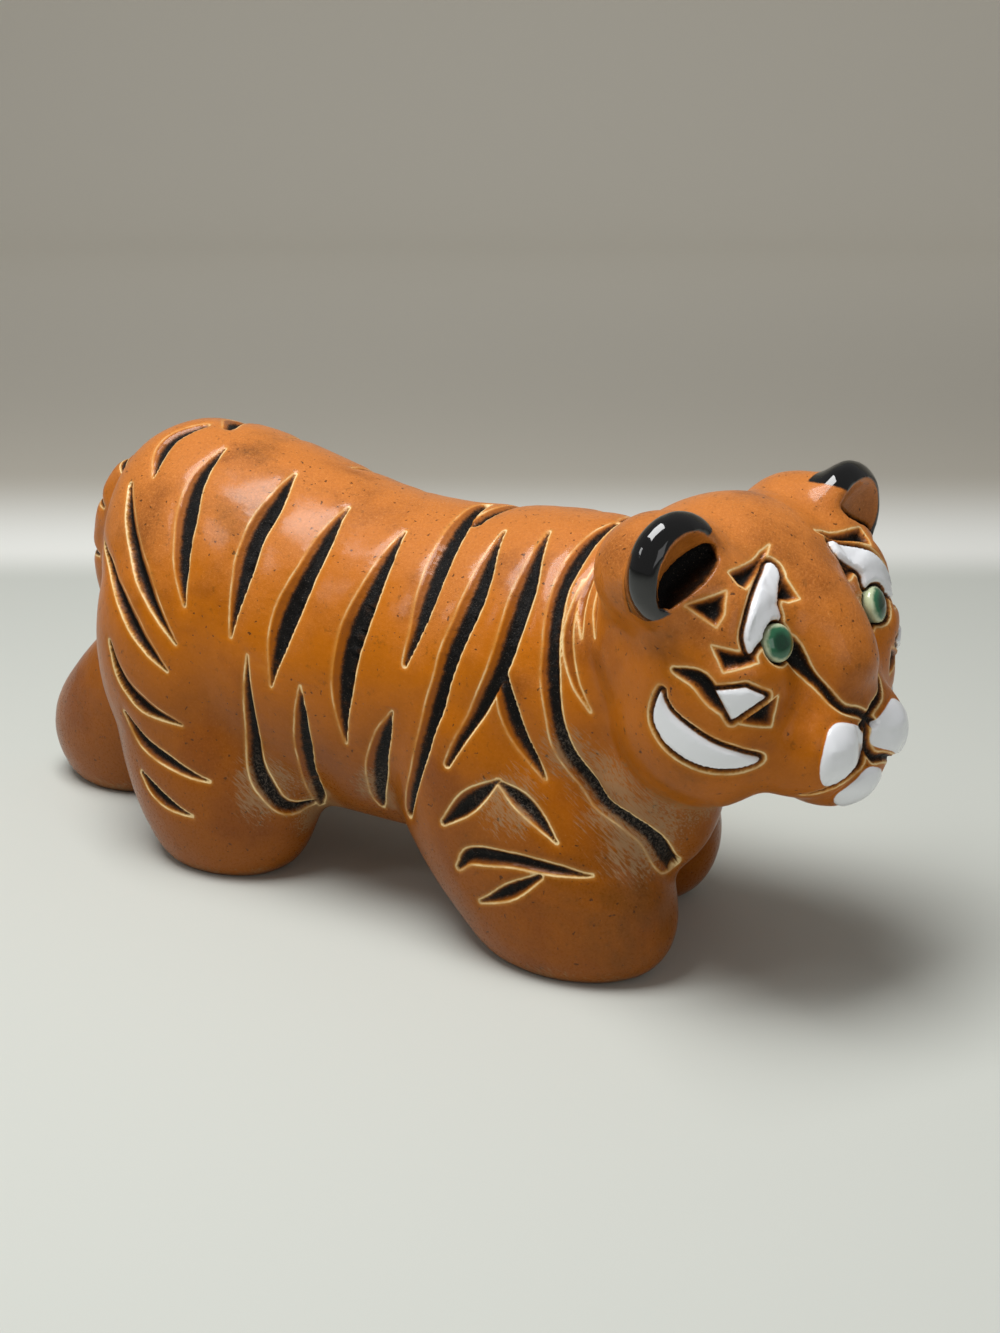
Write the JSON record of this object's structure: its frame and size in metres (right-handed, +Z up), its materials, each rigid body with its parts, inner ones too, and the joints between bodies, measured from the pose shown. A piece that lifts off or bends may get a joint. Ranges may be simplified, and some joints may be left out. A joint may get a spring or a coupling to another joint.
{
  "type": "tiger figurine",
  "caption": "Glazed clay tiger, walking, with deeply carved stripes, round ears and a tail laid against one hind leg.",
  "frame": {"origin": "middle of the bounding box at table height, under the belly", "axes": "+X towards the head, along the body; +Y to the animal's left; +Z up"},
  "size_m": [0.269, 0.0972, 0.1201],
  "materials": {
    "tiger": "satin glaze over carved clay"
  },
  "bodies": {
    "root": {"tiger": "tiger"}
  },
  "joints": []
}
